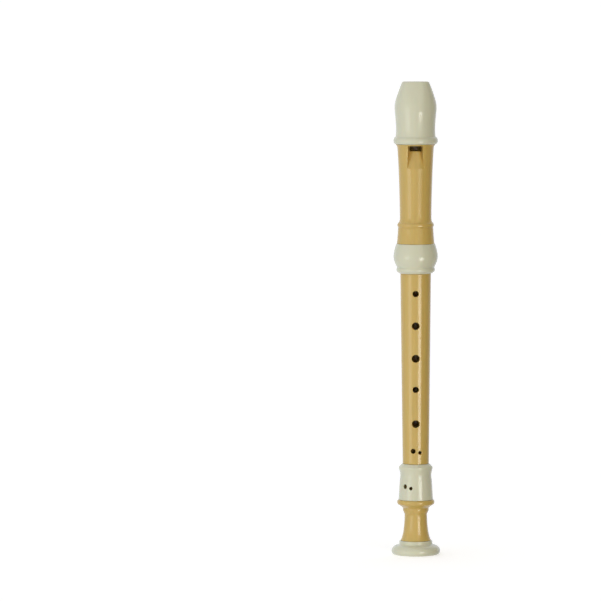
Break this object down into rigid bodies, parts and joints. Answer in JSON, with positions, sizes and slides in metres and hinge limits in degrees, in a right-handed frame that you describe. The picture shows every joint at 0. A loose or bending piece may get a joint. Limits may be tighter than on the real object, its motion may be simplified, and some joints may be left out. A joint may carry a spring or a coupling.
{
  "type": "soprano recorder",
  "caption": "End-blown duct flute in pull-apart joints, with a scooped beak, a window with a sloping lip, finger holes and a flared foot.",
  "frame": {"origin": "centre of the foot's flat end face, on the bore's axis", "axes": "+Z along the bore's axis towards the beak, -Y towards the window and the finger holes"},
  "size_m": [0.0338, 0.0338, 0.33],
  "materials": {
    "sand_resin": "semi-gloss moulded resin",
    "ivory_resin": "semi-gloss moulded resin"
  },
  "bodies": {
    "middle": {"middle_body": "sand_resin"},
    "head_ring": {"head_socket_ring": "ivory_resin"},
    "head": {"head_body": "sand_resin", "beak_cap": "ivory_resin", "windway_block": "ivory_resin"},
    "foot_ring": {"foot_base_ring": "ivory_resin"},
    "foot": {"foot_body": "sand_resin", "foot_socket_sleeve": "ivory_resin"}
  },
  "joints": [
    {"name": "foot_pull", "type": "slide", "parent": "foot_ring", "child": "middle", "axis": [0, 0, 1], "range_m": [0, 0.014]},
    {"name": "foot_twist", "type": "hinge", "parent": "foot_ring", "child": "foot", "pos_m": [0, 0, 0.03], "axis": [0, 0, 1], "continuous": true},
    {"name": "head_pull", "type": "slide", "parent": "middle", "child": "head_ring", "axis": [0, 0, 1], "range_m": [0, 0.02]},
    {"name": "head_twist", "type": "hinge", "parent": "head_ring", "child": "head", "pos_m": [0, 0, 0.2], "axis": [0, 0, 1], "continuous": true}
  ]
}
